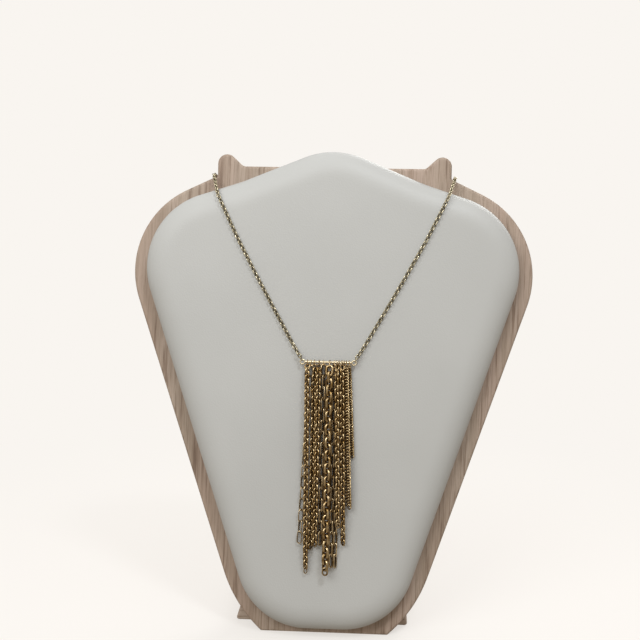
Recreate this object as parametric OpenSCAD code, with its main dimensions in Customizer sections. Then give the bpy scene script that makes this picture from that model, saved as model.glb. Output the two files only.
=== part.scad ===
// Tassel necklace hung on a neck bust display: a wooden board with two ears, a smooth pad and a foot.
// Millimetres. The origin is the middle of the face that rests on the table, +Z is up, the front faces -Y.
// Things on the board are laid out in its own frame: x to the right, y up along the board, z out of its front.

/* [Board] */
// Widest width of the board
board_w = 215; // [180:1:250]
// Height of the board along its face, to the edge between the ears
board_h = 251.5; // [220:0.5:290]
// Thickness of the board
board_t = 14; // [9:0.5:22]
// How far the board leans back
lean = 8; // [4:0.5:14]
// Slope of the shoulders
shoulder_slope = 25.5; // [18:0.5:34]
// Distance between the outer sides of the two ears
ear_span = 126.5; // [110:0.5:140]
// Width of an ear at its foot
ear_w = 14; // [10:0.5:18]
// Slope of the inner side of an ear
ear_slope = 42.5; // [35:0.5:48]

/* [Foot] */
// Width of the foot along the table
foot_w = 95; // [80:1:140]
// Height of the foot
foot_h = 16; // [10:0.5:26]
// Depth of the foot behind the board
foot_d = 62; // [45:1:90]
// How far each side of the foot slopes in towards its top
foot_slope = 5; // [0:0.5:12]
// How far the foot is set to the left of the board's middle
foot_left = 2; // [-4:0.5:4]

/* [Pad] */
// Width of wood that shows round the pad
rim = 8; // [5:0.5:14]
// How far the crest of the pad rises above the board's edge
crest_rise = 7; // [2:0.5:14]
// Height of the pad's lower edge on the board
pad_up = 4; // [2:0.5:12]
// Height of the pad's straight side
pad_side = 5; // [3:0.5:8]
// Radius of the rolled edge above it
pad_roll = 8; // [5:0.5:10]
// How much thicker the pad is in its middle than at its edge
pad_crown = 4; // [1:0.5:7]

/* [Neck chain] */
// Wire of the neck chain
neck_wire = 0.55; // [0.45:0.01:0.6]
// Outer width of a neck chain link
neck_link_w = 2.35; // [2.2:0.05:2.7]
// Outer length of a neck chain link
neck_link_l = 3.45; // [3.2:0.05:4]
// How far the chain bows outwards on its way over the pad
front_bow = 2.7; // [1:0.1:4]
// How far inside the pad's upper edge the chain starts to bend down over it
over_edge = 3.3; // [2.5:0.1:5]
// How far the chain sags behind the board
back_sag = 10; // [6:0.5:16]

/* [Bar and clasp] */
// Height of the bar on the board
bar_up = 147; // [120:1:165]
// How far the bar runs past the outer strands, to its soldered rings
bar_end = 1; // [0.8:0.1:3]
// Diameter of the bar
bar_d = 1.3; // [0.9:0.05:1.35]
// Height of the bar's middle above the pad
bar_lift = 2.6; // [2.4:0.1:4]
// Outer diameter of a soldered ring
ring_d = 3.1; // [2.9:0.05:3.4]
// Wire of a soldered ring
ring_wire = 0.55; // [0.45:0.05:0.6]
// Distance between the middles of the clasp's two rings
clasp_l = 10.5; // [9:0.1:16]
// Diameter of the clasp's barrel
clasp_d = 3; // [2:0.1:4]

/* [Tassel] */
// Length of the longest strand
tassel_l = 112; // [90:1:125]
// Width of the tassel across its strands' lower ends
tassel_w = 28; // [27:0.5:34]
// Mean distance from strand to strand where they hang on the bar
strand_pitch = 1.82; // [1.8:0.01:2.1]
// How far the front strands lie above the back ones
front_lift = 1.9; // [1.8:0.05:2.5]
// Wire of the link that hangs each strand on the bar
hang_wire = 0.5; // [0.4:0.05:0.55]
// Outer width of that link
hang_link_w = 2.7; // [2.65:0.05:3]
// Outer length of that link
hang_link_l = 3.6; // [3.4:0.05:4.5]
// Wire of the long link chain
long_wire = 0.5; // [0.4:0.05:0.55]
// Outer width of a long link
long_link_w = 2.6; // [2.2:0.05:2.7]
// Outer length of a long link
long_link_l = 6.95; // [5.5:0.05:9]
// Wire of the heavy chain in the middle
heavy_wire = 0.95; // [0.8:0.05:1]
// Outer width of a heavy link
heavy_link_w = 4.6; // [4.2:0.1:4.8]
// Outer length of a heavy link
heavy_link_l = 5.5; // [5:0.1:6.5]

/* [Fit] */
// Gap between neighbouring pieces
gap = 0.25; // [0.2:0.05:0.4]
// Gap between the wires of two links that hold each other
link_gap = 0.2; // [0.18:0.01:0.22]

/* [Hidden] */

wood = "#b59c82";
leatherette = "#bfbdb8";
gold = "#b39455";

board_half = board_w / 2;
ear_x = ear_span / 2;
pad_half = board_half - rim;
pad_h = board_h + crest_rise - pad_up;
pad_edge = pad_side + pad_roll;
stand_d = board_t / cos(lean) + gap + foot_d;
ring_r = (ring_d - ring_wire) / 2;

// Corners of the right half of the board: [x / half width, y / height, radius / half width]
WAIST = [[0.354, -0.074, 0.69], [1.106, 0.873, 0.524]];
// Corners of the right half of the pad, from its lower edge to its crest, in the same shares
PAD_CORNERS = [[0.373, 0, 0.385], [1.112, 0.857, 0.408], [0.485, 0.937, 0.61], [0, 1.015, 0.416]];
ear_round = 5;
ear_inner_round = 3;
corner_round = 1;
pad_points = 72;
pad_middle = 0.58;

// The strands from left to right at their ends. On the bar the second hangs outside the first and the ninth inside
// the eighth, and each of those two crosses in front of its neighbour:
// [place on the bar, end x / half the tassel's width, length / longest, thickness / heavy link's width,
// lift, lift at the end]
PLACE = 0;
END_X = 1;
LENGTH = 2;
THICK = 3;
LIFT = 4;
END_LIFT = 5;
STRANDS = [
    [-5, -0.95, 0.846, 0.43, 0, 0],
    [-6, -0.69, 0.993, 0.55, 1.2, 0],
    [-3.8, -0.52, 0.885, 0.42, 0, 0],
    [-2.6, -0.36, 0.871, 0.48, 1, 1],
    [-1.3, -0.17, 0.848, 0.4, 0, 0],
    [0.45, 0.05, 1, 0.8, 1.15, 1.15],
    [1.75, 0.25, 0.964, 0.4, 0, 0],
    [3.1, 0.405, 0.965, 0.36, 0, 0],
    [2.45, 0.5, 0.773, 0.5, 1.8, 1.8],
    [3.95, 0.7, 0.863, 0.48, 1, 0],
    [4.55, 0.79, 0.679, 0.39, 0, 0],
    [5.2, 0.91, 0.687, 0.5, 1, 0.8],
    [6, 0.985, 0.453, 0.4, 0, 0]
];
LONG = 0;
HEAVY = 5;
tube_sides = 8;
tube_step = 5;
// Length over which a strand settles from the bar to where it lies
settle = 4;
// Each link lies a quarter turn from the next, and both lean this far from the pad
link_lean = 45;

// The neck chain's route: level with the bar for a first share of the way from the bar to the ear,
// then over the pad at these shares, each with its share of the bow, and last the bow where it reaches the edge
LEVEL_SHARE = 0.03;
FRONT_ROUTE = [[0.09, 0.26], [0.25, 0.56], [0.45, 0.85], [0.65, 1]];
EDGE_BOW = 0.74;
// Behind the board: shares of the way from the ear to the middle
BACK_ROUTE = [0.2, 0.4, 0.6, 0.8];
// How far the chain keeps off the wood where it passes over the shoulder
hook_beside = 1.9;
hook_above = 2.1;
hook_behind = 2.8;
// Radii of the route's bends: beside the bar, over the pad, over the shoulder and behind the board
bar_bend = 10;
front_bend = 40;
hook_bend = 4.9;
back_bend = 20;

function unit(v) = v / norm(v);
function mix(a, b, t) = a + (b - a) * t;
function smooth(t) = let (c = min(1, max(0, t))) c * c * (3 - 2 * c);
function mirrored(points) = [for (i = [len(points) - 1 : -1 : 0]) [-points[i][0], points[i][1], points[i][2]]];
function flat(points) = [for (p = points) [p[0], p[1]]];

// A corner at b between a and c, as points on an arc of radius r, or less where the sides are too short for it
function arc_corner(a, b, c, r) =
    let (
        to_a = unit(a - b),
        to_c = unit(c - b),
        half = acos(max(-1, min(1, to_a * to_c))) / 2,
        sweep = 180 - 2 * half,
        reach = min(r / tan(half), norm(a - b) * 0.7, norm(c - b) * 0.7),
        middle = b + unit(to_a + to_c) * reach / cos(half),
        from = b + to_a * reach - middle,
        to = b + to_c * reach - middle,
        steps = max(2, ceil(sweep / 10))
    )
    sweep < 0.5 ? [b] : [for (k = [0 : steps])
        middle + (from * sin(sweep * (1 - k / steps)) + to * sin(sweep * k / steps)) / sin(sweep)];

// A closed outline with its corners rounded; each corner is [x, y, radius]
function rounded_outline(corners) =
    let (n = len(corners), p = flat(corners))
    [for (i = [0 : n - 1]) each arc_corner(p[(i + n - 1) % n], p[i], p[(i + 1) % n], corners[i][2])];

// An open route in space with its bends rounded
function rounded_route(points, radii) =
    let (last = len(points) - 1)
    [points[0], for (i = [1 : last - 1]) each arc_corner(points[i - 1], points[i], points[i + 1], radii[i]),
        points[last]];

// Running length at each point of a route, and the point at a given length
function marks(path) = [for (i = 0, s = 0; i < len(path); i = i + 1,
    s = s + (i < len(path) ? norm(path[i] - path[i - 1]) : 0)) s];
function along(path, at, s) =
    let (k = max([0, for (i = [0 : len(at) - 2]) if (at[i] <= s) i]))
    mix(path[k], path[k + 1], (s - at[k]) / (at[k + 1] - at[k]));

// Outline of the board: a narrow waist at the table, wide shoulders and an ear each side
hook_y = WAIST[1][1] * board_h + (WAIST[1][0] * board_half - ear_x) * tan(shoulder_slope);
board_corners = [
    for (c = WAIST) [c[0] * board_half, c[1] * board_h, c[2] * board_half],
    [ear_x, hook_y, corner_round],
    [ear_x, board_h + ear_w * tan(ear_slope), ear_round],
    [ear_x - ear_w, board_h, ear_inner_round]
];
board_outline = rounded_outline(concat(board_corners, mirrored(board_corners)));

// Outline of the pad, taken at even steps, and how high its face stands off the board at a place
pad_corners = [for (c = PAD_CORNERS) [c[0] * pad_half, pad_up + c[1] * pad_h, c[2] * pad_half]];
pad_loop = rounded_outline(concat(pad_corners, mirrored([for (i = [0 : len(pad_corners) - 2]) pad_corners[i]])));
pad_closed = concat(pad_loop, [pad_loop[0]]);
pad_marks = marks(pad_closed);
pad_outline = [for (i = [0 : pad_points - 1])
    along(pad_closed, pad_marks, pad_marks[len(pad_marks) - 1] * i / pad_points)];
function bulge(t) = max(0, 1 - t * t);
function pad_face(x, y) =
    pad_edge + pad_crown * bulge(x / pad_half) * bulge((y - pad_up - pad_h * pad_middle) / (pad_h * pad_middle));

function inward(i) =
    let (n = pad_points, t = unit(pad_outline[(i + 1) % n] - pad_outline[(i + n - 1) % n])) [-t[1], t[0]];
// A ring of the pad: moved in by a distance, drawn to the middle by a share, at a share of the way up to its face
function pad_ring(inset, shrink, low, rise) =
    let (centre = [0, pad_up + pad_h * pad_middle])
    [for (i = [0 : pad_points - 1])
        let (p = mix(centre, pad_outline[i] + inward(i) * inset, shrink))
        [p[0], p[1], mix(low, pad_face(p[0], p[1]), rise)]];

// A chain link lying along x, its wire bent round two half circles
module link(length, width, wire) {
    bend = (width - wire) / 2;
    straight = length - width;
    for (side = [-1, 1]) {
        translate([side * straight / 2, 0, 0])
            rotate([0, 0, -side * 90])
            rotate_extrude(angle = 180, $fn = 24)
            translate([bend, 0]) circle(d = wire, $fn = 24);
        translate([0, side * bend, 0]) rotate([0, 90, 0])
            cylinder(d = wire, h = straight, center = true, $fn = 24);
    }
}

// Links along a route, from the length where the first one's middle lies; each frame turns as little as it can.
// The first link stands at a turn from the pad's normal, and the lean comes in over the first few.
module chain(path, from, pitch, count, first_turn, lean_in, length, width, wire) {
    at = marks(path);
    joint = [for (i = [0 : count]) along(path, at, from + (i - 0.5) * pitch)];
    way = [for (i = [0 : count - 1]) unit(joint[i + 1] - joint[i])];
    side = [for (i = 0, n = unit([0, 0, 1] - way[0][2] * way[0]); i < count; i = i + 1,
        n = i < count ? unit(n - (n * way[i]) * way[i]) : n) n];
    for (i = [0 : count - 1]) {
        turn = first_turn + 90 * i + link_lean * min(1, (i + 1) / lean_in);
        across = side[i] * cos(turn) + cross(way[i], side[i]) * sin(turn);
        through = cross(way[i], across);
        middle = (joint[i] + joint[i + 1]) / 2;
        multmatrix([for (k = [0 : 2]) [way[i][k], across[k], through[k], middle[k]]])
            link(length, width, wire);
    }
}

// A solid skinned over rings of points, closed by a fan at each end
module skin(first, rings, last) {
    n = len(rings[0]);
    rows = len(rings);
    end = rows * n + 1;
    points = [first, for (r = rings) each r, last];
    function at(row, i) = 1 + row * n + i % n;
    polyhedron(points, [
        for (i = [0 : n - 1]) [0, at(0, i), at(0, i + 1)],
        for (row = [0 : rows - 2], i = [0 : n - 1])
            each [[at(row, i), at(row + 1, i), at(row + 1, i + 1)], [at(row, i), at(row + 1, i + 1), at(row, i + 1)]],
        for (i = [0 : n - 1]) [end, at(rows - 1, i + 1), at(rows - 1, i)]
    ], convexity = 4);
}

// A tube along a route, with its own radius at each point
module tube(path, radius) {
    last = len(path) - 1;
    rings = [for (j = [0 : last])
        let (
            way = unit(path[min(j + 1, last)] - path[max(j - 1, 0)]),
            side = unit([0, 0, 1] - way[2] * way),
            across = cross(way, side)
        )
        [for (i = [0 : tube_sides - 1])
            path[j] + (side * cos(360 * i / tube_sides) + across * sin(360 * i / tube_sides)) * radius[j]]];
    skin(path[0], rings, path[last]);
}

module on_board() {
    translate([0, -stand_d / 2, 0]) rotate([90 - lean, 0, 0]) children();
}

module table_cut() {
    reach = 2 * (board_w + board_h);
    difference() {
        children();
        translate([0, 0, -reach / 2]) cube(reach, center = true);
    }
}

// The board, cut level where it stands
module board() {
    color(wood)
    table_cut() on_board()
        translate([0, 0, -board_t]) linear_extrude(board_t) polygon(board_outline);
}

// The block behind the board's lower end, cut to the slope of the board's back
module foot() {
    long = foot_d + board_t + board_h * sin(lean);
    color(wood)
    difference() {
        translate([-foot_left, stand_d / 2, 0]) rotate([90, 0, 0]) linear_extrude(long)
            polygon([[-foot_w / 2, 0], [foot_w / 2, 0],
                [foot_w / 2 - foot_slope, foot_h], [foot_slope - foot_w / 2, foot_h]]);
        on_board() translate([-foot_w, -board_h, -board_t - gap]) cube([2 * foot_w, 2 * board_h, long + board_w]);
    }
}

// The smooth pad, its edge rolled and its face gently domed
module pad() {
    centre = [0, pad_up + pad_h * pad_middle];
    foot_ring = pad_ring(0, 1, gap, 0);
    rolled = [for (turn = [0 : 22.5 : 90]) pad_ring(pad_roll * (1 - cos(turn)), 1, pad_side, sin(turn))];
    domed = [for (shrink = [0.8, 0.55, 0.28]) pad_ring(pad_roll, shrink, pad_side, 1)];
    color(leatherette)
    on_board() skin([centre[0], centre[1], gap], concat([foot_ring], rolled, domed),
        [centre[0], centre[1], pad_face(centre[0], centre[1])]);
}

module ring() {
    rotate_extrude($fn = 32) translate([ring_r, 0]) circle(d = ring_wire, $fn = 24);
}

// A rod with a ring soldered to each end
module ringed_rod(length, thick) {
    for (side = [-1, 1]) translate([side * length / 2, 0, 0]) ring();
    rotate([0, 90, 0]) cylinder(d = thick, h = length - 2 * ring_r, center = true, $fn = 32);
}

bar_z = pad_face(0, bar_up) + bar_lift;
bar_l = (len(STRANDS) - 1) * strand_pitch + 2 * bar_end + ring_d;

module bar() {
    color(gold) on_board() translate([0, bar_up, bar_z]) ringed_rod(bar_l, bar_d);
}

// The neck chain's right half, from the bar's ring over the shoulder to the clasp's ring
chain_thick = (neck_link_w - neck_wire) * cos(link_lean) + neck_wire;
hook_x = ear_x + hook_beside;
hook_top = hook_y - hook_beside * tan(shoulder_slope) + hook_above / cos(shoulder_slope);
hook_back = -board_t - hook_behind;
function over_pad(share, bow) = [mix(bar_l / 2, hook_x, share) + bow * front_bow, mix(bar_up, hook_top, share)];
function front_point(share, bow) =
    let (p = over_pad(share, bow)) [p[0], p[1], pad_face(p[0], p[1]) + gap + chain_thick / 2];
// Share of the way at which the chain crosses the pad's upper edge
edge_start = over_pad(0, EDGE_BOW);
edge_way = over_pad(1, EDGE_BOW) - edge_start;
edge_share = max([for (i = [0 : pad_points - 1])
    let (
        a = pad_outline[i],
        b = pad_outline[(i + 1) % pad_points],
        off_a = cross(edge_way, a - edge_start),
        off_b = cross(edge_way, b - edge_start)
    )
    if (off_a * off_b <= 0) (mix(a, b, off_a / (off_a - off_b)) - edge_start) * edge_way / (edge_way * edge_way)]);
function back_point(share) =
    let (drop = back_sag * (1 - pow(1 - share, 2)))
    [mix(hook_x, clasp_l / 2, share), hook_top - drop * cos(lean), hook_back - drop * sin(lean)];
level_end = front_point(LEVEL_SHARE, 0);
neck_points = concat(
    [[bar_l / 2, bar_up, bar_z], [level_end[0], level_end[1], bar_z]],
    [for (p = FRONT_ROUTE) front_point(p[0], p[1])],
    [front_point(edge_share - over_edge / norm(edge_way), EDGE_BOW), [hook_x, hook_top, chain_thick / 2]],
    [for (share = concat([0], BACK_ROUTE, [1])) back_point(share)]
);
pad_bend = pad_roll + gap + chain_thick / 2;
neck_bends = [0, bar_bend, bar_bend, front_bend, front_bend, front_bend, pad_bend, hook_bend, hook_bend,
    back_bend, back_bend, back_bend, back_bend, 0];
neck_path = rounded_route(neck_points, neck_bends);
neck_marks = marks(neck_path);
neck_length = neck_marks[len(neck_marks) - 1];
// How far the links' frame has turned about the chain where it meets the clasp
end_twist = 14;
// From a ring's middle to the middle of the first link through it
neck_first = ring_r - ring_wire / 2 - link_gap - neck_wire + neck_link_l / 2;
neck_span = neck_length - 2 * neck_first;
neck_links = round(neck_span / (neck_link_l - 2 * neck_wire - link_gap)) + 1;

module neck_chain() {
    color(gold) on_board()
        chain(neck_path, neck_first, neck_span / (neck_links - 1), neck_links, 0, 4,
            neck_link_l, neck_link_w, neck_wire);
}

module neck_chain_right() {
    neck_chain();
}

module neck_chain_left() {
    mirror([1, 0, 0]) neck_chain();
}

// The clasp is turned about its length until its rings stand square to the last links
module clasp() {
    middle = back_point(1);
    clasp_turn = neck_links % 2 == 1 ? end_twist : end_twist - 90;
    color(gold) on_board() translate([0, middle[1], middle[2]]) rotate([clasp_turn, 0, 0])
        ringed_rod(clasp_l, clasp_d);
}

// Where each strand runs: down from the bar, then lying on the pad or on the strands beside it.
// The further forward it lies, the lower it leaves the bar's height.
function thickness(i) = STRANDS[i][THICK] * heavy_link_w;
function strand_length(i) = STRANDS[i][LENGTH] * tassel_l;
function strand_point(i, s) =
    let (
        share = s / strand_length(i),
        x = mix(STRANDS[i][PLACE] * strand_pitch, STRANDS[i][END_X] * tassel_w / 2, share),
        y = bar_up - s,
        lift = mix(STRANDS[i][LIFT], STRANDS[i][END_LIFT], smooth((share - 0.8) / 0.2)),
        lies = pad_face(x, y) + gap + thickness(i) / 2 + lift * front_lift,
        leaves = i == HEAVY ? 0 : bar_d * sqrt(max(1, STRANDS[i][LIFT]))
    )
    [x, y, mix(bar_z, lies, smooth((s - leaves) / settle))];
function strand_path(i, from) =
    let (long = strand_length(i), settled = bar_d + settle)
    [for (s = [from : 1 : settled]) strand_point(i, s),
        for (s = [settled + tube_step / 2 : tube_step : long - tube_step / 2]) strand_point(i, s),
        strand_point(i, long)];
// From the bar to the middle of the link that hangs a strand on it, and to the wire at that link's lower end
hang_middle = hang_link_l / 2 - hang_wire - link_gap - bar_d / 2;
hang_end = hang_middle + (hang_link_l - hang_wire) / 2;

module hang_link(i) {
    chain(strand_path(i, 0), hang_middle, hang_link_l, 1, -link_lean, 1, hang_link_l, hang_link_w, hang_wire);
}

// A strand of fine chain as the round space that it fills, on its hanging link
module fine_strand(i) {
    path = strand_path(i, hang_end);
    last = len(path) - 1;
    r = thickness(i) / 2;
    color(gold) on_board() {
        hang_link(i);
        tube(path, [for (j = [0 : last])
            j == last ? r / 2 : mix(hang_wire, r, smooth((bar_up - path[j][1] - hang_end) / settle))]);
    }
}

// A strand of real links, from the length of its first link's middle
module link_strand(i, first, first_turn, lean_in, length, width, wire) {
    pitch = length - 2 * wire - link_gap;
    count = round((strand_length(i) - length / 2 - first) / pitch) + 1;
    chain(strand_path(i, 0), first, pitch, count, first_turn, lean_in, length, width, wire);
}

module long_strand() {
    color(gold) on_board() {
        hang_link(LONG);
        link_strand(LONG, hang_end - (hang_wire + long_wire) / 2 - link_gap + (long_link_l - long_wire) / 2,
            90, 2, long_link_l, long_link_w, long_wire);
    }
}

module heavy_strand() {
    color(gold) on_board()
        link_strand(HEAVY, heavy_link_l / 2 - heavy_wire - link_gap - bar_d / 2,
            0, 6, heavy_link_l, heavy_link_w, heavy_wire);
}

module strand(i) {
    if (i == LONG) long_strand();
    else if (i == HEAVY) heavy_strand();
    else fine_strand(i);
}

board();
pad();
foot();
bar();
clasp();
neck_chain_left();
neck_chain_right();
for (i = [0 : len(STRANDS) - 1])
    strand(i);
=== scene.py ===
# %% [markdown]
# # A tassel necklace on its neck bust display
# The necklace is a fine chain, a slim bar and thirteen hanging chains of different makes. It hangs
# on a wooden board with two ears, which carries a domed leatherette pad and stands on a foot. The
# imported solids give every piece its place, so the script loads them first.

# %% Load the imported model
import math

import bpy
import numpy as np
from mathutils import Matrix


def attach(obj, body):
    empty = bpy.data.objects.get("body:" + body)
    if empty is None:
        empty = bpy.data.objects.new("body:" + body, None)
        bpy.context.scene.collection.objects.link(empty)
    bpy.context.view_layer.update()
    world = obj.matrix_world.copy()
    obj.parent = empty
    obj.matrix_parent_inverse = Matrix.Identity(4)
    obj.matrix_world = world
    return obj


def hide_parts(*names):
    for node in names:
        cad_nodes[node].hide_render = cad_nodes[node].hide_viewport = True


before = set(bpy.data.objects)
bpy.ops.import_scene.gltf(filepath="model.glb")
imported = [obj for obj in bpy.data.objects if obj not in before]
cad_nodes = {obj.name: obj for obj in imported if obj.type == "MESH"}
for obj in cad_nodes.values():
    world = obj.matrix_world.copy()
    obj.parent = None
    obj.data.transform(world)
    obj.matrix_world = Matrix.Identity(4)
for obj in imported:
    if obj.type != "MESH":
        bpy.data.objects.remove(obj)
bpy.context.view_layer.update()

print("solids to dress:", len(cad_nodes))

# %% [markdown]
# ## The board's own frame
# The board leans back by 8 degrees. It is easiest to lay everything out flat on it, with x to the
# right, y up along the board and z out of its front, all in millimetres, and to turn the finished
# points once at the end. The same sizes as in the solids are used, so each piece lands where its
# solid is.

# %% Sizes, and the turn from the board's frame to the world
LEAN = math.radians(8)
BOARD_T = 14
FOOT_D = 62
GAP = 0.25
STAND_D = BOARD_T / math.cos(LEAN) + GAP + FOOT_D


def to_world(points):
    """Board frame in mm to world metres. World Y is y sin(lean) - z cos(lean) - half the depth, and
    world Z is y cos(lean) + z sin(lean)."""
    x, y, z = np.moveaxis(np.asarray(points, float), -1, 0)
    back = y * math.sin(LEAN) - z * math.cos(LEAN) - STAND_D / 2
    up = y * math.cos(LEAN) + z * math.sin(LEAN)
    return np.stack([x, back, up], axis=-1) / 1000


def unit(v):
    """Vectors divided by their own lengths."""
    return v / np.linalg.norm(v, axis=-1, keepdims=True)


def smooth(t):
    """The ease curve t t (3 - 2 t), level at both ends."""
    t = np.clip(t, 0, 1)
    return t * t * (3 - 2 * t)


print("depth of the stand:", round(STAND_D, 1), "mm")

# %% [markdown]
# ## From points to a piece
# Each piece below is worked out as arrays of points and faces. One helper makes the mesh. It finds
# the signed volume, a sixth of the sum of a . (b x c) over the triangles, and turns all faces over
# where it is negative, so that every piece faces outwards. It then ties the piece to the solid that
# it stands for.

# %% The helper that makes a piece
def signed_volume(points, faces):
    """A sixth of the sum of a . (b x c) over the triangles; a quad counts as two triangles."""
    a, b, c = points[faces[:, 0]], points[faces[:, 1]], points[faces[:, 2]]
    total = np.einsum("ij,ij->", a, np.cross(b, c))
    if faces.shape[1] == 4:
        d = points[faces[:, 3]]
        total += np.einsum("ij,ij->", a, np.cross(c, d))
    return total / 6


def make_piece(name, points, face_sets, material, replaced, flat_ends=False):
    """A smooth mesh piece in world metres, turned outwards. It rides on the root and stands for its
    CAD nodes. With flat_ends the last set of faces, a loft's two fans, is shaded flat."""
    face_sets = [np.asarray(f) for f in face_sets if len(f)]
    if sum(signed_volume(points, f) for f in face_sets) < 0:
        face_sets = [f[:, ::-1] for f in face_sets]
    mesh = bpy.data.meshes.new(name)
    mesh.from_pydata(points.tolist(), [], [row for f in face_sets for row in f.tolist()])
    is_smooth = np.ones(len(mesh.polygons), bool)
    if flat_ends:
        is_smooth[-len(face_sets[-1]):] = False
    mesh.polygons.foreach_set("use_smooth", is_smooth)
    mesh.materials.append(material)
    piece = bpy.data.objects.new(name, mesh)
    bpy.context.scene.collection.objects.link(piece)
    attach(piece, "root")
    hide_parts(*replaced)
    print(name, "-", len(points), "points")
    return piece


def loft(rings, first, last):
    """Points and faces of a skin over closed rings (rows, count, 3), with a fan at each end."""
    rows, count = rings.shape[:2]
    points = np.vstack([first, rings.reshape(-1, 3), last])
    here = 1 + np.arange(rows * count).reshape(rows, count)
    ahead = np.roll(here, -1, axis=1)
    quads = np.stack([here[:-1], ahead[:-1], ahead[1:], here[1:]], axis=-1).reshape(-1, 4)
    start = np.stack([np.zeros(count, int), ahead[0], here[0]], axis=-1)
    end = np.stack([np.full(count, len(points) - 1), here[-1], ahead[-1]], axis=-1)
    return points, [quads, np.vstack([start, end])]


def joined(parts):
    """Parts, each of points and sets of faces, as one: later faces count on from earlier points."""
    starts = np.cumsum([0] + [len(part[0]) for part in parts[:-1]])
    points = np.vstack([part[0] for part in parts])
    return points, [faces + start for part, start in zip(parts, starts) for faces in part[1]]


cube_corner = np.array([[0, 0, 0], [1, 0, 0], [0, 1, 0], [0, 0, 1]])
cut = np.array([[0, 2, 1], [0, 1, 3], [0, 3, 2], [1, 2, 3]])
print("a cube's corner, cut off, is", round(signed_volume(cube_corner, cut), 3), "of it")

# %% [markdown]
# ## Rounded outlines
# Board and pad are cut to outlines with large round corners. A corner is given by where its two
# sides would meet and by its radius, which is how a pattern maker draws it. The arc's middle lies
# on the bisector of the two sides.

# %% Corners to outlines
def arc_corner(a, b, c, radius):
    """Arc that rounds the corner b between a and c, in steps of about 2 degrees. It starts at
    radius / tan(half) from b, and its middle lies on the bisector. A side gives at most 0.7 of its
    length to one arc."""
    to_a, to_c = unit(a - b), unit(c - b)
    half = math.acos(np.clip(to_a @ to_c, -1, 1)) / 2
    sweep = math.pi - 2 * half
    shorter = min(np.linalg.norm(a - b), np.linalg.norm(c - b))
    reach = min(radius / math.tan(half), 0.7 * shorter)
    middle = b + unit(to_a + to_c) * reach / math.cos(half)
    share = np.linspace(0, 1, max(3, int(math.degrees(sweep) / 2)))[:, None]
    start, end = b + to_a * reach - middle, b + to_c * reach - middle
    blend = start * np.sin(sweep * (1 - share)) + end * np.sin(sweep * share)
    return middle + blend / math.sin(sweep)


def rounded_loop(right_half, count):
    """Closed outline from the right half's corners [x, y, radius]. Their arcs are cut at the middle
    line and mirrored, so that arcs which reach past it can't cross, and the outline is resampled to
    count points at equal steps."""
    right = np.array(right_half, float)
    left = right[::-1] * [-1, 1, 1]
    corners = np.vstack([right, left[left[:, 0] < 0]])
    before, after = np.roll(corners, 1, axis=0), np.roll(corners, -1, axis=0)
    arcs = [arc_corner(a[:2], b[:2], c[:2], b[2]) for a, b, c in zip(before, right, after)]
    half = np.vstack(arcs)
    half = half[half[:, 0] >= 0]
    closed = np.vstack([half, half[::-1] * [-1, 1], half[:1]])
    run = np.r_[0, np.cumsum(np.linalg.norm(np.diff(closed, axis=0), axis=1))]
    at = np.linspace(0, run[-1], count, endpoint=False)
    return np.stack([np.interp(at, run, closed[:, k]) for k in range(2)], axis=1)


def inset(loop, distance):
    """The outline moved inwards by a distance, along the left-hand normal of the chord from one
    neighbour to the other."""
    chord = unit(np.roll(loop, -1, axis=0) - np.roll(loop, 1, axis=0))
    return loop + distance * np.stack([-chord[:, 1], chord[:, 0]], axis=1)


def at_height(loop, height):
    """The outline's points with z, one height for all of them or one for each."""
    return np.column_stack([loop, np.broadcast_to(height, len(loop))])


square = arc_corner(np.array([10, 0]), np.array([0, 0]), np.array([0, 10]), 5)
print("a square corner of radius 5 mm takes", len(square), "points")

# %% [markdown]
# ## Wood
# The display is pale, slightly pink hardwood under a thin satin finish. Its grain runs up the
# board: fine pores about a millimetre apart, wider bands of pink and brown, and a few darker lines.
# Noise stretched along the grain gives all of them, each at its own width. It is read from the
# object's own coordinates, so the grain stays in the wood when the part is moved.

# %% Node helpers, and the wood
def new_material(name):
    """A material with its node tree and its shader."""
    material = bpy.data.materials.new(name)
    material.use_nodes = True
    return material, material.node_tree, material.node_tree.nodes["Principled BSDF"]


def add_node(tree, kind, inputs=None, **settings):
    """A node with its settings; inputs is {socket: value, or a socket to link from}."""
    node = tree.nodes.new(kind)
    for key, value in settings.items():
        setattr(node, key, value)
    for key, value in (inputs or {}).items():
        if isinstance(value, bpy.types.NodeSocket):
            tree.links.new(value, node.inputs[key])
        else:
            node.inputs[key].default_value = value
    return node


def noise(tree, place, scale, detail, roughness=0.5, distortion=0):
    """Cloudy noise from 0 to 1, with its scale per metre."""
    inputs = {"Vector": place, "Scale": scale, "Detail": detail, "Roughness": roughness,
              "Distortion": distortion}
    return add_node(tree, "ShaderNodeTexNoise", inputs).outputs["Fac"]


def map_range(tree, value, source, target, ease="LINEAR"):
    """The value carried from the source range to the target range, each as (from, to)."""
    inputs = {"Value": value, "From Min": source[0], "From Max": source[1],
              "To Min": target[0], "To Max": target[1]}
    return add_node(tree, "ShaderNodeMapRange", inputs, interpolation_type=ease).outputs["Result"]


def bumped(tree, height, strength, distance, below=None):
    """A normal bent by a height of up to distance metres, on top of the normal below, if any."""
    inputs = {"Height": height, "Strength": strength, "Distance": distance}
    if below is not None:
        inputs["Normal"] = below
    return add_node(tree, "ShaderNodeBump", inputs).outputs["Normal"]


def colour_ramp(tree, source, stops):
    """A ramp through [position, colour] stops, colours as linear red, green and blue."""
    ramp = add_node(tree, "ShaderNodeValToRGB", {"Fac": source})
    elements = ramp.color_ramp.elements
    while len(elements) < len(stops):
        elements.new(0.5)
    for element, (position, colour) in zip(elements, stops):
        element.position = position
        element.color = (*colour, 1)
    return ramp.outputs["Color"]


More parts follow.
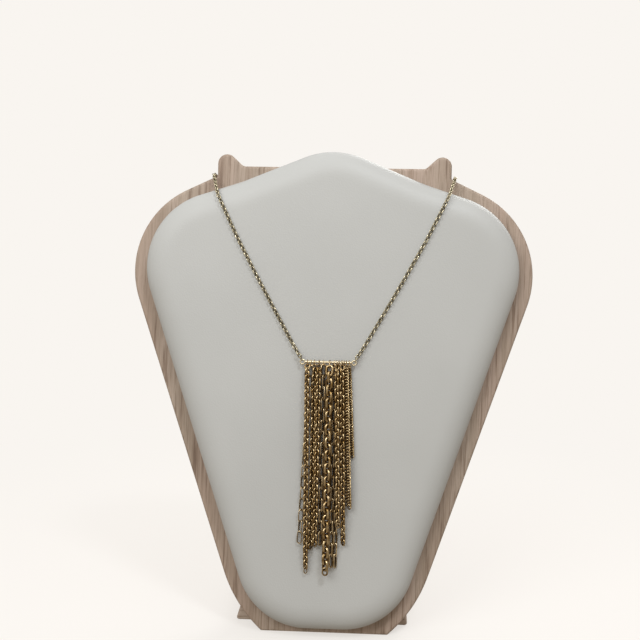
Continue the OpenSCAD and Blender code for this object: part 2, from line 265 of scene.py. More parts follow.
def mix_colour(tree, factor, a, b, blend="MIX"):
    """Two colours mixed by a factor. The node's sockets 0, 6 and 7 are the factor and the colours."""
    mix = add_node(tree, "ShaderNodeMix", data_type="RGBA", blend_type=blend)
    for key, value in zip((0, 6, 7), (factor, a, b)):
        if isinstance(value, bpy.types.NodeSocket):
            tree.links.new(value, mix.inputs[key])
        else:
            mix.inputs[key].default_value = value if key == 0 else (*value, 1)
    return mix.outputs[2]


def wood_material(name, turn, stretch):
    """Wood with its grain along the axis of the large stretch, after a turn in radians."""
    material, tree, shader = new_material(name)
    place = add_node(tree, "ShaderNodeTexCoord").outputs["Object"]
    along = add_node(tree, "ShaderNodeMapping", {"Vector": place, "Rotation": turn, "Scale": stretch},
                     vector_type="TEXTURE")
    grain = along.outputs["Vector"]
    bands = noise(tree, grain, 120, 3, distortion=0.4)
    tints = noise(tree, grain, 60, 2)
    lines = noise(tree, grain, 760, 3, roughness=0.6)
    pores = noise(tree, grain, 1500, 3, roughness=0.7)
    base = colour_ramp(tree, bands, [
        (0.33, (0.34, 0.268, 0.214)), (0.45, (0.405, 0.333, 0.274)), (0.6, (0.445, 0.372, 0.315)),
        (0.72, (0.385, 0.312, 0.252))])
    tint = colour_ramp(tree, tints, [(0.38, (1, 0.97, 0.93)), (0.62, (1, 0.92, 0.88))])
    streak = colour_ramp(tree, lines, [(0.36, (0.4, 0.31, 0.24)), (0.45, (1, 1, 1))])
    pore = colour_ramp(tree, pores, [(0.36, (0.68, 0.64, 0.6)), (0.56, (1.05, 1.04, 1.03))])
    colour = mix_colour(tree, 1, base, tint, "MULTIPLY")
    colour = mix_colour(tree, 0.6, colour, streak, "MULTIPLY")
    colour = mix_colour(tree, 0.6, colour, pore, "MULTIPLY")
    tree.links.new(colour, shader.inputs["Base Color"])
    tree.links.new(map_range(tree, pores, (0, 1), (0.66, 0.46)), shader.inputs["Roughness"])
    tree.links.new(bumped(tree, pores, 0.3, 0.0003), shader.inputs["Normal"])
    return material


WOOD = wood_material("pale_wood", (-LEAN, 0.02, 0), (1, 1, 30))
FOOT_WOOD = wood_material("pale_foot_wood", (0, 0, 0.03), (30, 1, 1))
print("wood:", len(WOOD.node_tree.nodes), "nodes each, grain up the board and across the foot")

# %% [markdown]
# ## The board
# On the real object this is a 14 mm board, sawn to shape with its edges eased by sandpaper. It
# could be an extruded curve with a bevel. Here it is a skin over rings instead: each ring is the
# outline moved in by a little and set at a height, and a quarter circle of rings eases each edge.
# The table cuts the board level, so points that would lie below it move up the board, by their
# ring's inset more, which eases the cut edge too.

# %% Board
BOARD_HALF, BOARD_H = 107.5, 251.5
EAR_X, EAR_W, EAR_SLOPE = 63.25, 14, math.radians(42.5)
SHOULDER_SLOPE = math.radians(25.5)
EASE, FAN_Y = 1.4, 150
# Corners as shares: x of the half width, y of the height, radius of the half width
LOWER_CORNER, UPPER_CORNER = (0.354, -0.074, 0.69), (1.106, 0.873, 0.524)


def scaled_corner(corner):
    """A corner [x, y, radius] in mm from its shares."""
    x, y, radius = corner
    return [x * BOARD_HALF, y * BOARD_H, radius * BOARD_HALF]


upper = scaled_corner(UPPER_CORNER)
EAR_FOOT_Y = upper[1] + (upper[0] - EAR_X) * math.tan(SHOULDER_SLOPE)
EAR_TOP_Y = BOARD_H + EAR_W * math.tan(EAR_SLOPE)
board_loop = rounded_loop([
    scaled_corner(LOWER_CORNER), upper,
    [EAR_X, EAR_FOOT_Y, 1], [EAR_X, EAR_TOP_Y, 5], [EAR_X - EAR_W, BOARD_H, 3]], count=1100)


def eased_slab(loop, thickness, ease):
    """Rings of a slab from its front face to its back: inset ease (1 - cos t) at depth
    ease (1 - sin t), with t from 90 to 0 degrees, and on each face one more ring, 0.8 mm further in,
    that keeps the edge's shading off the face. The table cuts the slab: y is at least
    depth tan(lean) + inset."""
    turn = np.radians(np.linspace(90, 0, 6))
    edge = list(zip(ease * (1 - np.cos(turn)), ease * (1 - np.sin(turn))))
    front = [(ease + 0.8, 0)] + edge
    back = [(into, thickness - depth) for into, depth in reversed(front)]
    rings = np.stack([at_height(inset(loop, into), -depth) for into, depth in front + back])
    lowest = np.array([depth * math.tan(LEAN) + into for into, depth in front + back])
    rings[..., 1] = np.maximum(rings[..., 1], lowest[:, None])
    return rings


board_rings = eased_slab(board_loop, BOARD_T, EASE)
points, faces = loft(board_rings, [0, FAN_Y, 0], [0, FAN_Y, -BOARD_T])
make_piece("wooden_board", to_world(points), faces, WOOD, ["board"], flat_ends=True)

# %% [markdown]
# ## The foot
# A plain block behind the board keeps it up. Its sides slope in and its front is planed to the
# board's lean. It is a skin over rings too: the block's cross section with round corners, carried
# from front to back, and slightly smaller at each end. Only the front rings follow the lean.

# %% Foot
FOOT_W, FOOT_H, FOOT_SLOPE, FOOT_LEFT = 95, 16, 5, 2


def section(ease):
    """The foot's cross section, X and Z in mm, pulled in by ease at its sides and top."""
    half = FOOT_W / 2 - ease
    return rounded_loop([[half, ease * 0.2, 1], [half - FOOT_SLOPE, FOOT_H - ease, 1.2]], count=240)


def foot_ring(ease, back):
    """One ring, at the distance back from the front along Y. In the front half it leans."""
    x, z = section(ease).T
    front = z * math.tan(LEAN) + BOARD_T / math.cos(LEAN) + GAP - STAND_D / 2
    rear = np.full_like(x, STAND_D / 2)
    y = front + back if back < FOOT_D / 2 else rear - (FOOT_D - back)
    return np.stack([x - FOOT_LEFT, y, z], axis=-1)


front_steps = [(1.8, 0), (1, 0), (0.3, 0.3), (0, 1)]
rear_steps = [(ease, FOOT_D - back) for ease, back in reversed(front_steps)]
foot_rings = np.stack([foot_ring(ease, back) for ease, back in front_steps + rear_steps])
points, faces = loft(foot_rings, foot_rings[0].mean(0), foot_rings[-1].mean(0))
make_piece("wooden_foot", points / 1000, faces, FOOT_WOOD, ["foot"], flat_ends=True)

# %% [markdown]
# ## Leatherette
# The pad is covered in smooth off-white leatherette with a very fine pebble. An image of real
# leatherette would need a seam somewhere, so the pebble is worked out instead. It is a pattern of
# random cells under a millimetre wide that only bumps the surface, and a slow noise gives the cover
# the faint unevenness of foam below it.

# %% Leatherette
def leatherette_material():
    """Off-white with a pebbled bump, on top of the slow unevenness of foam."""
    material, tree, shader = new_material("off_white_leatherette")
    place = add_node(tree, "ShaderNodeTexCoord").outputs["Object"]
    pebble = add_node(tree, "ShaderNodeTexVoronoi", {"Vector": place, "Scale": 1300, "Randomness": 1})
    cloud = noise(tree, place, 14, 3)
    colour = colour_ramp(tree, cloud, [(0.3, (0.482, 0.485, 0.47)), (0.7, (0.512, 0.515, 0.5))])
    tree.links.new(colour, shader.inputs["Base Color"])
    shader.inputs["Roughness"].default_value = 0.5
    fine = bumped(tree, pebble.outputs["Distance"], 0.12, 0.0003)
    tree.links.new(bumped(tree, cloud, 0.08, 0.004, below=fine), shader.inputs["Normal"])
    return material


LEATHERETTE = leatherette_material()
print("leatherette:", len(LEATHERETTE.node_tree.nodes), "nodes")

# %% [markdown]
# ## The pad
# Foam under the leatherette makes a firm pad with a rolled edge and a gently domed face. Cloth
# simulation would wrinkle a cover that is drawn tight and smooth, so the surface is written down: a
# low wall, a roll, then a dome. The roll is 8 mm high and 15 mm wide, a curve |1 - u|^n + v^2 = 1
# that leaves the wall upright and meets the dome with no crease, as foam does under a tight cover.
# The dome's height is the edge height plus 4 mm times (1 - (x/half)^2) (1 - (up/reach)^2), where up
# is the distance above or below the pad's middle.

# %% Pad
PAD_HALF, PAD_UP, PAD_CREST = 99.5, 4, 7
PAD_H = BOARD_H + PAD_CREST - PAD_UP
PAD_SIDE, PAD_ROLL, PAD_CROWN = 5, 8, 4
ROLL_IN, ROLL_POWER = 15, 2.5
PAD_REACH = 0.58 * PAD_H
PAD_MID = PAD_UP + PAD_REACH
# Corners as shares: x of the half width, y of the height, radius of the half width
PAD_CORNERS = [(0.373, 0, 0.385), (1.112, 0.857, 0.408), (0.485, 0.937, 0.61), (0, 1.015, 0.416)]
pad_loop = rounded_loop(
    [[x * PAD_HALF, PAD_UP + y * PAD_H, radius * PAD_HALF] for x, y, radius in PAD_CORNERS],
    count=620)


def pad_face(x, y):
    """Height of the face over the board: the edge height plus the crown's crossed parabolas."""
    across = np.maximum(0, 1 - (x / PAD_HALF) ** 2)
    upward = np.maximum(0, 1 - ((y - PAD_MID) / PAD_REACH) ** 2)
    return PAD_SIDE + PAD_ROLL + PAD_CROWN * across * upward


def pad_ring(into, share, turn):
    """A ring of the pad, moved in and drawn to the middle by a share. Its height is
    side + sin(turn) (face - side)."""
    flat = np.array([0, PAD_MID]) + share * (inset(pad_loop, into) - [0, PAD_MID])
    return at_height(flat, PAD_SIDE + math.sin(turn) * (pad_face(*flat.T) - PAD_SIDE))


def rolled_ring(turn):
    """A ring of the roll: it has moved in by roll_in (1 - cos(turn)^(2 / power))."""
    return pad_ring(ROLL_IN * (1 - max(0, math.cos(turn)) ** (2 / ROLL_POWER)), 1, turn)


wall_steps = [(1.2, GAP), (0.4, GAP), (0, 0.8), (0, 2.5)]
wall = [at_height(inset(pad_loop, into), height) for into, height in wall_steps]
roll = [rolled_ring(turn) for turn in np.radians(np.linspace(0, 90, 25))]
dome = [pad_ring(ROLL_IN, share, math.pi / 2) for share in np.linspace(0.98, 0.03, 30)]
pad_rings = np.stack(wall + roll + dome)
points, faces = loft(pad_rings, [0, PAD_MID, GAP], [0, PAD_MID, pad_face(0, PAD_MID)])
pad = make_piece("leatherette_pad", to_world(points), faces, LEATHERETTE, ["pad"])

# %% [markdown]
# ## Antique gold
# The chains are brass with a worn antique gold finish: bright where they rub, and darker on the
# inner side of each link's wire, which is partly patina and partly painted shade between the links.
# A metallic shader takes its light and dark from what it reflects. One noise shifts its colour and
# its roughness from link to link, and a finer one gives each wire its wear marks, so that the
# highlights break up as they do on real chain.

# %% Gold
def gold_material(name, light, dark, patina_and_shade, rough):
    """Worn gold of two colours, darker where the attribute depth nears a link's hole: patina and
    painted shade.
    """
    material, tree, shader = new_material(name)
    place = add_node(tree, "ShaderNodeTexCoord").outputs["Object"]
    patches = noise(tree, place, 420, 3)
    wear = noise(tree, place, 2600, 2)
    metal = colour_ramp(tree, patches, [(0.36, dark), (0.58, light)])
    depth = add_node(tree, "ShaderNodeAttribute", attribute_name="depth").outputs["Fac"]
    # Painted shade and patina: the colour darkens towards each link's hole, where the links shade
    # each other
    colour = mix_colour(tree, map_range(tree, depth, (0.3, 0.85), (0, 1)), metal, patina_and_shade)
    tree.links.new(colour, shader.inputs["Base Color"])
    shader.inputs["Metallic"].default_value = 1
    shader.inputs["Coat Weight"].default_value = 0.24
    shader.inputs["Coat Roughness"].default_value = 0.18
    spread = map_range(tree, patches, (0.3, 0.7), (rough + 0.12, rough))
    tree.links.new(spread, shader.inputs["Roughness"])
    tree.links.new(bumped(tree, wear, 0.2, 0.0001), shader.inputs["Normal"])
    return material


# The light colour, the dark one, the colour of patina and painted shade towards a link's hole, and
# the roughness
FINISHES = {
    "antique_gold": [(0.6, 0.455, 0.25), (0.285, 0.173, 0.055), (0.09, 0.044, 0.009), 0.23],
    "worn_gold": [(0.72, 0.64, 0.45), (0.33, 0.285, 0.18), (0.07, 0.058, 0.034), 0.22],
    # The lighter gold of the long-link strands and the clasp is partly painted highlight, for the
    # bright strokes along the long links
    "lighter_gold_and_highlight": [(0.76, 0.62, 0.4), (0.44, 0.305, 0.14), (0.1, 0.055, 0.016), 0.24],
    # The bar's pale gold is a painted highlight: it makes the thin rod as bright as a highlight along
    # it
    "highlight_painted_gold": [(0.86, 0.76, 0.55), (0.68, 0.56, 0.36), (0.2, 0.13, 0.05), 0.3],
}
GOLD, NECK_GOLD, LIGHTER_GOLD_AND_HIGHLIGHT, HIGHLIGHT_PAINTED_GOLD = [
    gold_material(name, *look) for name, look in FINISHES.items()]
print("gold finishes:", *FINISHES)

# %% [markdown]
# ## A chain of wire links
# A link is a piece of round wire bent into an oval and closed. A cable chain has each link a
# quarter turn from the next, and both lean 45 degrees off the pad. A curb chain has every link
# twisted between its ends, so that all of them lie the same way. Modifiers could repeat a link
# along a curve, but they would bend each link with the curve. Here one array holds a link, and one
# array of frames places it along the strand, so a whole chain is a single product of the two.

# %% Link and chain
def link_points(length, width, wire, twist, around, sides):
    """An oval of wire: its middle line is two half circles of radius (width - wire)/2 with their
    middles length - width apart, and its sections are circles across that line. Twist turns each
    point about x by twist times 2 x / length. The second result, (1 - cos round)/2, is how deep
    each point lies in the link, from its outer side to its hole."""
    angle = (np.arange(around) + 0.5) / around * 2 * np.pi
    out = np.stack([np.cos(angle), np.sin(angle), np.zeros(around)], axis=1)
    line = out * (width - wire) / 2 + np.sign(out[:, :1]) * [(length - width) / 2, 0, 0]
    round_ = np.arange(sides) / sides * 2 * np.pi
    outwards = np.cos(round_)[None, :, None] * out[:, None]
    upwards = np.sin(round_)[None, :, None] * np.array([0, 0, 1])
    x, y, z = np.moveaxis(line[:, None] + wire / 2 * (outwards + upwards), -1, 0)
    turn = twist * 2 * x / length
    cos, sin = np.cos(turn), np.sin(turn)
    twisted = np.stack([x, y * cos - z * sin, y * sin + z * cos], axis=-1)
    depth = np.broadcast_to((1 - np.cos(round_)) / 2, (around, sides))
    return twisted.reshape(-1, 3), depth.reshape(-1)


def link_faces(around, sides):
    """Quads of a link's wire, closed both ways."""
    here = np.arange(around * sides).reshape(around, sides)
    right, over = np.roll(here, -1, axis=1), np.roll(here, -1, axis=0)
    return np.stack([here, right, np.roll(over, -1, axis=1), over], axis=-1).reshape(-1, 4)


def on_line(line, at):
    """Points at given running lengths of a line; past either end they go straight on."""
    run = np.r_[0, np.cumsum(np.linalg.norm(np.diff(line, axis=0), axis=1))]
    k = np.clip(np.searchsorted(run, at) - 1, 0, len(run) - 2)
    share = (at - run[k]) / (run[k + 1] - run[k])
    return line[k] + share[:, None] * (line[k + 1] - line[k])


def chain(line, first, pitch, count, turns, link, around=14, sides=6):
    """Links along a line: the middle of link i lies at first + i pitch, its length along the chord
    through its two joints. Turns are the angles in degrees from the pad's normal to each link's
    width, and a link is given by (length, width, wire, twist). The result is points, faces and the
    links' depth."""
    joints = on_line(line, first + (np.arange(count + 1) - 0.5) * pitch)
    way = unit(np.diff(joints, axis=0))
    side = np.empty_like(way)
    carried = np.array([0.0, 0.0, 1.0])
    for i, w in enumerate(way):
        carried = unit(carried - (carried @ w) * w)
        side[i] = carried
    turn = np.radians(turns)[:, None]
    across = side * np.cos(turn) + np.cross(way, side) * np.sin(turn)
    axes = np.stack([way, across, np.cross(way, across)], axis=1)
    shape, depth = link_points(*link, around, sides)
    points = (joints[:-1] + joints[1:])[:, None] / 2 + np.einsum("pk,nkj->npj", shape, axes)
    faces = link_faces(around, sides) + len(shape) * np.arange(count)[:, None, None]
    return points.reshape(-1, 3), [faces.reshape(-1, 4)], np.tile(depth, count)


def chain_piece(name, parts, mirror, material, replaced):
    """Several chains as one piece, with the attribute depth. Mirror is 1, or -1 to flip x."""
    points, faces = joined(parts)
    piece = make_piece(name, to_world(points * [mirror, 1, 1]), faces, material, [replaced])
    depth = piece.data.attributes.new("depth", "FLOAT", "POINT")
    depth.data.foreach_set("value", np.concatenate([part[2] for part in parts]))


print("a link of the plainest kind has", len(link_faces(12, 6)), "faces")

# %% [markdown]
# ## The bar, its rings and the clasp
# A thin rod holds the strands, with a small ring soldered to each end. It could be a cylinder and
# two tori. Here the rod is a skin over circles, because their radius swells a little between the
# places where the strands have worn it, and the rings are round links. The clasp at the back keeps
# the form of its solid and only takes the finish.

# %% Bar and clasp
# The bar's height on the board, its thickness, its spare length and how far its middle is off the pad
BAR_UP, BAR_D, BAR_SPARE, BAR_OFF = 147, 1.3, 2, 2.6
# The pitch of the thirteen strands, and the end ring's outer size and its wire, in the solid and here
STRAND_PITCH, RING_D, RING_WIRE, RING_THICK = 1.82, 3.1, 0.55, 0.78
BAR_HALF = (12 * STRAND_PITCH + BAR_SPARE + RING_D) / 2
BAR_Z = float(pad_face(0, BAR_UP)) + BAR_OFF
BAR_WEAR = 0.06


def bar_rod(sides):
    """Circles about the x axis of radius d/2 (1 + wear cos(2 pi (x / pitch + 1/2))), closed to a
    point inside each ring's wire."""
    half = BAR_HALF - (RING_D - RING_WIRE) / 2
    x = np.linspace(-half, half, 131)
    turn = np.arange(sides) / sides * 2 * np.pi
    radius = BAR_D / 2 * (1 + BAR_WEAR * np.cos(2 * np.pi * (x / STRAND_PITCH + 0.5)))
    circles = np.stack([np.cos(turn), np.sin(turn)], axis=1)
    rings = np.dstack([np.broadcast_to(x[:, None], (len(x), sides)), radius[:, None, None] * circles])
    return loft(rings, [x[0], 0, 0], [x[-1], 0, 0])


def soldered_ring(side):
    """A round link at the left end of the bar (side -1) or at the right one (side 1)."""
    shape, _ = link_points(RING_D, RING_D, RING_THICK, 0, 24, 10)
    return shape + [side * BAR_HALF, 0, 0], [link_faces(24, 10)]


points, faces = joined([bar_rod(16), soldered_ring(-1), soldered_ring(1)])
# The whole bar takes the pale gold, whose paleness is a painted highlight along the rod
make_piece("tassel_bar", to_world(points + [0, BAR_UP, BAR_Z]), faces, HIGHLIGHT_PAINTED_GOLD, ["bar"])
clasp = cad_nodes["clasp"]
clasp.data.materials.clear()
clasp.data.materials.append(LIGHTER_GOLD_AND_HIGHLIGHT)
print("bar:", round(2 * BAR_HALF, 1), "mm between the middles of its rings")

# %% [markdown]
# ## The neck chain
# A fine cable chain runs from each ring of the bar over the pad, bows out a little, bends down over
# the pad's edge, goes over the shoulder beside the ear and sags to the clasp behind the board. Its
# line is a list of a few points with rounded bends, nearly the same as in the solids. The links are
# drawn at their real pitch, a little closer than in the solids, which keep their number down.

# %% Neck chain
# The solids' link gives the height of the line over the pad, and a slightly fuller link is drawn
SOLID_WIRE, SOLID_W = 0.55, 2.35
NECK_LINK, NECK_PITCH = (3, 2.4, 0.62, 0), 1.72
CHAIN_THICK = (SOLID_W - SOLID_WIRE) * math.cos(math.radians(45)) + SOLID_WIRE
# How far the line passes beside the ear, above the shoulder and behind the board, its sag and its bow
HOOK_BESIDE, HOOK_ABOVE, HOOK_BEHIND, SAG, BOW = 1.9, 1.4, 2.8, 10, 2.7
HOOK_X = EAR_X + HOOK_BESIDE
HOOK_TOP = EAR_FOOT_Y - HOOK_BESIDE * math.tan(SHOULDER_SLOPE) + HOOK_ABOVE / math.cos(SHOULDER_SLOPE)
HOOK_BACK = -BOARD_T - HOOK_BEHIND
CLASP_HALF = 5.25
# Points over the pad: share of the way from the bar to the shoulder, and share of the bow
ROUTE = [(0.09, 0.26), (0.25, 0.56), (0.45, 0.85), (0.65, 1), (0.8752, 0.74)]


def front_point(share, bow):
    """A point over the pad at a share of the straight way to the shoulder, moved out by the bow."""
    x = BAR_HALF + (HOOK_X - BAR_HALF) * share + bow
    y = BAR_UP + (HOOK_TOP - BAR_UP) * share
    return [x, y, pad_face(x, y) + GAP + CHAIN_THICK / 2]


def back_point(share):
    """A point behind the board at a share of the way to the clasp, lower by
    sag (1 - (1 - share)^2)."""
    drop = SAG * (1 - (1 - share) ** 2)
    x = HOOK_X + (CLASP_HALF - HOOK_X) * share
    return [x, HOOK_TOP - drop * math.cos(LEAN), HOOK_BACK - drop * math.sin(LEAN)]


# The line leaves the bar's height after 3 hundredths of the way
leave_x, leave_y, _ = front_point(0.03, 0)
corners = np.array(
    [[BAR_HALF, BAR_UP, BAR_Z], [leave_x, leave_y, BAR_Z]]
    + [front_point(share, BOW * bow) for share, bow in ROUTE]
    + [[HOOK_X, HOOK_TOP, CHAIN_THICK / 2]]
    + [back_point(share) for share in (0, 0.2, 0.4, 0.6, 0.8, 1)])
# The radius of the bend at each corner but the first and the last
bends = [10, 10, 40, 40, 40, PAD_ROLL + GAP + CHAIN_THICK / 2, 4.9, 4.9, 20, 20, 20, 20]
arcs = [arc_corner(a, b, c, r) for a, b, c, r in zip(corners, corners[1:], corners[2:], bends)]
neck_line = np.vstack([corners[:1]] + arcs + [corners[-1:]])
neck_length = np.linalg.norm(np.diff(neck_line, axis=0), axis=1).sum()
print("neck chain's line:", round(neck_length, 1), "mm a side")

# %% Links of the neck chain
link_length, _, link_wire, _ = NECK_LINK
neck_first = RING_D / 2 - RING_WIRE - link_wire + link_length / 2
neck_span = neck_length - 2 * neck_first
neck_count = 2 * round(neck_span / NECK_PITCH / 2)
number = np.arange(neck_count)
# A quarter turn from link to link; the lean of 45 degrees comes in over the first four
neck_turns = 90 * number + 45 * np.minimum(1, (number + 1) / 4)
right = chain(neck_line, neck_first, neck_span / (neck_count - 1), neck_count, neck_turns, NECK_LINK)
for name, mirror in (("right", 1), ("left", -1)):
    chain_piece(f"neck_cable_{name}", [right], mirror, NECK_GOLD, f"neck_chain_{name}")
loop = 2 * (neck_length + BAR_HALF + CLASP_HALF)
print("neck chain:", neck_count, "links a side, loop", round(loop), "mm")

# %% [markdown]
# ## The strands
# The tassel is thirteen chains of several makes: long ovals, round rolo links, plain cable, twisted
# curb, and one heavy cable chain. Each hangs on the bar by one oval link, a longer one for the
# heavy strand, and lies on the pad or on the strands beside it, by half the height of its own
# leaning links. Its line settles from the bar's height to the pad's within a few millimetres, and
# spreads to where the strand ends. One table holds what was measured of each strand, because a
# maker sorts such chains by make and cuts them by length.

# %% The makes and places of the strands
# The longest strand, half the tassel's width at its end, the height of one lift, the settling length
TASSEL_L, HALF_W, FRONT_LIFT, SETTLE = 112, 14, 2.2, 4
HANG, HEAVY_HANG = (3.6, 2.7, 0.5, 0), (5.2, 3.2, 0.6, 0)
LONG_PITCH, CURB_TWIST, CURB_TILT = 5.87, 42, 25

# number: place on the bar, end x / half width, length share, lift, lift at the end;
# then pitch, link width, wire, twist in degrees
STRANDS = {
    1: [(-5, -0.95, 0.846, 0, 0), (LONG_PITCH, 3.5, 0.66, 0)],
    2: [(-6, -0.69, 0.993, 1.2, 0), (1.95, 3.5, 0.98, 0)],
    3: [(-3.93, -0.54, 0.885, 0, 0), (1.85, 3.6, 0.96, 0)],
    4: [(-2.6, -0.36, 0.871, 1, 1), (1.85, 3.5, 0.94, 0)],
    5: [(-1.3, -0.17, 0.848, 0, 0), (LONG_PITCH, 3.1, 1.06, 0)],
    6: [(0.45, 0.05, 1, 1.15, 1.15), (3.4, 4.7, 1.55, 0)],
    7: [(1.75, 0.25, 0.964, 0, 0), (LONG_PITCH, 2.9, 1, 0)],
    8: [(3.1, 0.405, 0.965, 0, 0), (LONG_PITCH, 2.8, 0.96, 0)],
    9: [(2.45, 0.5, 0.773, 1.8, 1.8), (1.9, 3.1, 0.98, 0)],
    10: [(3.95, 0.7, 0.863, 1, 0), (2, 3.4, 0.98, 0)],
    11: [(4.55, 0.79, 0.679, 0, 0), (1.7, 2.7, 0.74, CURB_TWIST)],
    12: [(5.2, 0.91, 0.687, 1, 0.8), (1.49, 2.7, 0.74, CURB_TWIST)],
    13: [(6, 0.985, 0.453, 0, 0), (1.3, 2.3, 0.64, CURB_TWIST)],
}
# Some strands end in a link of their own: length, width, wire, twist
TIPS = {1: (6.95, 3, 0.66, 0), 2: (3.9, 2.1, 0.56, 0), 6: (4.8, 3.4, 0.9, 0), 9: (2.9, 2.8, 0.75, 0)}
HEAVY = 6
print("strands:", len(STRANDS), "with", len(TIPS), "end links")

# %% One strand
# The share of its width that a leaning link stands high, and the play in a joint and round the bar
LEAN_HEIGHT, JOINT_PLAY, HANG_PLAY = 0.76, 0.08, 0.2


def strand_line(number, place, make):
    """The strand's middle line: x runs from its place on the bar to its end, and z eases from the
    bar to the pad. It lies half the height of its leaning links over the pad, and front strands are
    raised by their lift, which changes to the lift at the end over the last fifth."""
    bar_place, end_x, length, lift, end_lift = place
    _, width, wire, _ = make
    along = np.arange(0, length * TASSEL_L + 3, 0.5)
    share = along / (length * TASSEL_L)
    x = bar_place * STRAND_PITCH * (1 - share) + end_x * HALF_W * share
    y = BAR_UP - along
    raised = lift + (end_lift - lift) * smooth((share - 0.8) / 0.2)
    height = (width - wire) * LEAN_HEIGHT + wire
    lies = pad_face(x, y) + GAP + height / 2 + raised * FRONT_LIFT
    leaves = 0 if number == HEAVY else BAR_D * math.sqrt(max(1, lift))
    return np.stack([x, y, BAR_Z + (lies - BAR_Z) * smooth((along - leaves) / SETTLE)], axis=1)


def hanging_strand(number, place, make):
    """The hanging link, then links to the strand's length, and the end link of some. Plain links
    are a quarter turn apart and lean by 45 degrees, curb links lie alike, and all sway by two slow
    sines."""
    line = strand_line(number, place, make)
    pitch, width, wire, twist = make
    length = pitch + 2 * wire + JOINT_PLAY
    hang = HEAVY_HANG if number == HEAVY else HANG
    hang_middle = hang[0] / 2 - hang[2] - HANG_PLAY - BAR_D / 2
    hang_end = hang_middle + (hang[0] - hang[2]) / 2
    first = hang_end - (hang[2] + wire) / 2 - HANG_PLAY / 2 + (length - wire) / 2
    tip = TIPS.get(number)
    tip_length = tip[0] - 2 * wire if tip else 0
    count = round((place[2] * TASSEL_L - tip_length - length / 2 - first) / pitch) + 1
    i = np.arange(count)
    sway = 7 * np.sin(i * 0.9 + number) + 5 * np.sin(i * 0.37 + 2 * number)
    if twist:
        turns = 90 + CURB_TILT + sway / 2
    else:
        leaning = 6 if number == HEAVY else 3
        turns = 90 * (i + 1) + 45 * np.minimum(1, (i + 1) / leaning) + sway
    link = (length, width, wire, math.radians(twist))
    around, sides = 18 if pitch > 3 else 12, 8 if number == HEAVY else 6
    links = chain(line, first, pitch, count, turns, link, around, sides)
    parts = [chain(line, hang_middle, 1, 1, [0], hang, 16, 8), links]
    if tip:
        tip_at = first + (count - 0.5) * pitch + tip[0] / 2 - tip[2] - JOINT_PLAY / 2
        parts.append(chain(line, tip_at, tip[0], 1, [90 + sway[-1]], tip, 18, 8))
    return parts


for number, (place, make) in STRANDS.items():
    # Long-link strands take the lighter gold, which partly paints in their highlights
    finish = LIGHTER_GOLD_AND_HIGHLIGHT if make[0] == LONG_PITCH else GOLD
    parts = hanging_strand(number, place, make)
    chain_piece(f"hanging_chain_{number}", parts, 1, finish, f"strand_{number}")

# %% [markdown]
# ## Floor and world
# The photo has a plain warm white ground. The world is bright overhead and dim in front, so the
# metal has dark places to mirror, while the camera sees an even backdrop. The floor is one large
# square that fades into the backdrop's warm white away from the display, and throws no light back.

# %% Floor and world
GROUND = (0.947, 0.913, 0.871)


def ground_material():
    """A dim floor that glows a little and fades to the plain ground colour 0.45 m away."""
    material, tree, shader = new_material("ground")
    place = add_node(tree, "ShaderNodeTexCoord").outputs["Object"]
    reach = add_node(tree, "ShaderNodeVectorMath", {0: place}, operation="LENGTH").outputs["Value"]
    fade = map_range(tree, reach, (0.1, 0.45), (0, 1), "SMOOTHSTEP")
    shader.inputs["Base Color"].default_value = (0.26, 0.25, 0.24, 1)
    shader.inputs["Roughness"].default_value = 0.9
    shader.inputs["Emission Color"].default_value = (*GROUND, 1)
    shader.inputs["Emission Strength"].default_value = 0.66
    plain = add_node(tree, "ShaderNodeEmission", {"Color": (*GROUND, 1), "Strength": 1})
    both = add_node(tree, "ShaderNodeMixShader", {0: fade, 1: shader.outputs[0], 2: plain.outputs[0]})
    tree.links.new(both.outputs[0], tree.nodes["Material Output"].inputs["Surface"])
    return material


def stage_floor(half):
    """A level square that reaches half to each side. Bounced and mirrored light passes it by."""
    corners = [(-half, -half, 0), (half, -half, 0), (half, half, 0), (-half, half, 0)]
    mesh = bpy.data.meshes.new("ground")
    mesh.from_pydata(corners, [], [(0, 1, 2, 3)])
    mesh.materials.append(ground_material())
    ground = bpy.data.objects.new("ground", mesh)
    bpy.context.scene.collection.objects.link(ground)
    ground.visible_diffuse = False
    ground.visible_glossy = False


def studio_world():
    """Light that eases from dim below to bright above, and the ground colour for the camera."""
    world = bpy.data.worlds.new("studio")
    bpy.context.scene.world = world
    world.use_nodes = True
    tree = world.node_tree
    way = add_node(tree, "ShaderNodeTexCoord").outputs["Generated"]
    height = add_node(tree, "ShaderNodeSeparateXYZ", {"Vector": way}).outputs["Z"]
    sky = map_range(tree, height, (-0.1, 0.9), (0.37, 0.8), "SMOOTHSTEP")
    tint = colour_ramp(tree, sky, [(0.37, (1, 0.88, 0.73)), (0.58, (1, 0.97, 0.93))])
    around = add_node(tree, "ShaderNodeBackground", {"Color": tint, "Strength": sky})
    seen = add_node(tree, "ShaderNodeLightPath").outputs["Is Camera Ray"]
    backdrop = add_node(tree, "ShaderNodeBackground", {"Color": (*GROUND, 1), "Strength": 1})
    shades = {0: seen, 1: around.outputs[0], 2: backdrop.outputs[0]}
    both = add_node(tree, "ShaderNodeMixShader", shades)
    tree.links.new(both.outputs[0], tree.nodes["World Output"].inputs["Surface"])


stage_floor(20)
studio_world()
print("ground and world set")

# %% [markdown]
# ## Lamps
# The light in the photo is soft and comes from above: the pad's upper edge is bright and its lower
# end dim, and each chain has a thin shadow at its lower left. A key lamp high on the right throws
# those shadows, a larger one on the left fills them, and a third one lights the back. An area
# lamp's size sets how soft its shadow is, so the key is small and the other two are large.

# %% Lamps
from mathutils import Matrix, Vector


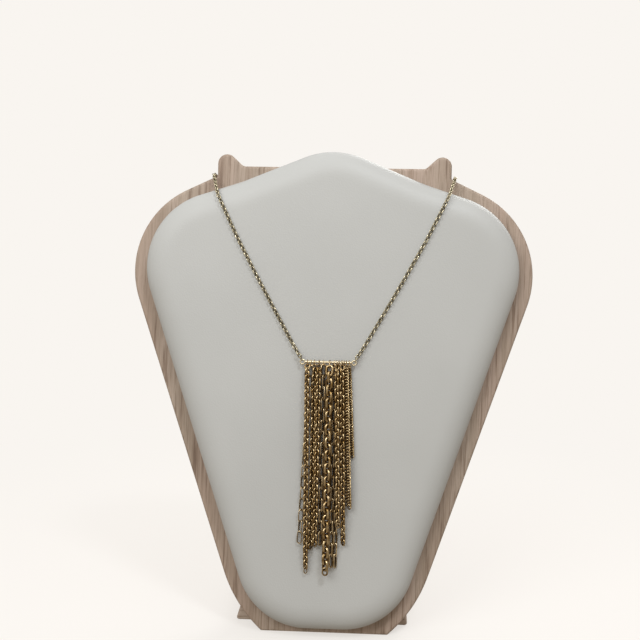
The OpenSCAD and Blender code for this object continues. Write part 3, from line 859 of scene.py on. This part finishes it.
def soft_lamp(name, place, aim, size, power, colour):
    """An area lamp at a place, turned so that its back, the z axis, points away from its aim."""
    lamp = bpy.data.lights.new(name, "AREA")
    lamp.shape = "RECTANGLE"
    lamp.size, lamp.size_y = size
    lamp.energy = power
    lamp.color = colour
    holder = bpy.data.objects.new(name, lamp)
    bpy.context.scene.collection.objects.link(holder)
    holder.rotation_mode = "QUATERNION"
    holder.rotation_quaternion = (Vector(place) - Vector(aim)).to_track_quat("Z", "Y")
    holder.location = place


soft_lamp("key", (0.4, -0.84, 1.34), (0, -0.02, 0.17), (0.26, 0.19), 6.4, (0.96, 1, 1.05))
soft_lamp("fill", (-0.5, -0.92, 0.85), (0, -0.03, 0.17), (0.78, 0.62), 6.8, (0.985, 1, 1))
soft_lamp("back", (0.5, 0.95, 0.8), (0, 0.03, 0.12), (0.7, 0.5), 6, (1, 0.99, 0.97))
print("lamps: key, fill and back")

# %% [markdown]
# ## Camera
# The photo was taken nearly straight on to the board. It is simplest to place the camera in the
# board's own frame too: 600 mm from a point on the board, a little to the right of straight on, and
# rolled a little. The lens then follows from the size that one pixel has at the board.

# %% Camera
VIEW_TURN, VIEW_ROLL, DISTANCE = math.radians(3), math.radians(1.3), 600
PIXELS, PIXEL_SIZE, SENSOR = 640, 0.54, 36
target = np.array([-5.85, 169, 0])
towards = np.array([math.sin(VIEW_TURN), 0, math.cos(VIEW_TURN)])
level_right = np.array([math.cos(VIEW_TURN), 0, -math.sin(VIEW_TURN)])
level_up = np.cross(towards, level_right)
right_way = level_right * math.cos(VIEW_ROLL) + level_up * math.sin(VIEW_ROLL)
up_way = np.cross(towards, right_way)
origin = to_world(np.zeros(3))
axes = [unit(to_world(v) - origin) for v in (right_way, up_way, towards)]
camera_data = bpy.data.cameras.new("camera")
camera_data.sensor_width = SENSOR
camera_data.lens = SENSOR * DISTANCE / (PIXELS * PIXEL_SIZE)
camera = bpy.data.objects.new("camera", camera_data)
bpy.context.scene.collection.objects.link(camera)
turned = Matrix(np.array(axes).T.tolist()).to_4x4()
camera_place = to_world(target + DISTANCE * towards).tolist()
camera.matrix_world = Matrix.Translation(Vector(camera_place)) @ turned
camera_data.clip_start, camera_data.clip_end = 0.01, 100
bpy.context.scene.camera = camera
bpy.context.scene.view_settings.view_transform = "Standard"
print("lens", round(camera_data.lens, 1), "mm, camera at", [round(v, 3) for v in camera_place])

# %% [markdown]
# ## Finish
# The view layer is brought up to date.

# %% Finish
bpy.context.view_layer.update()
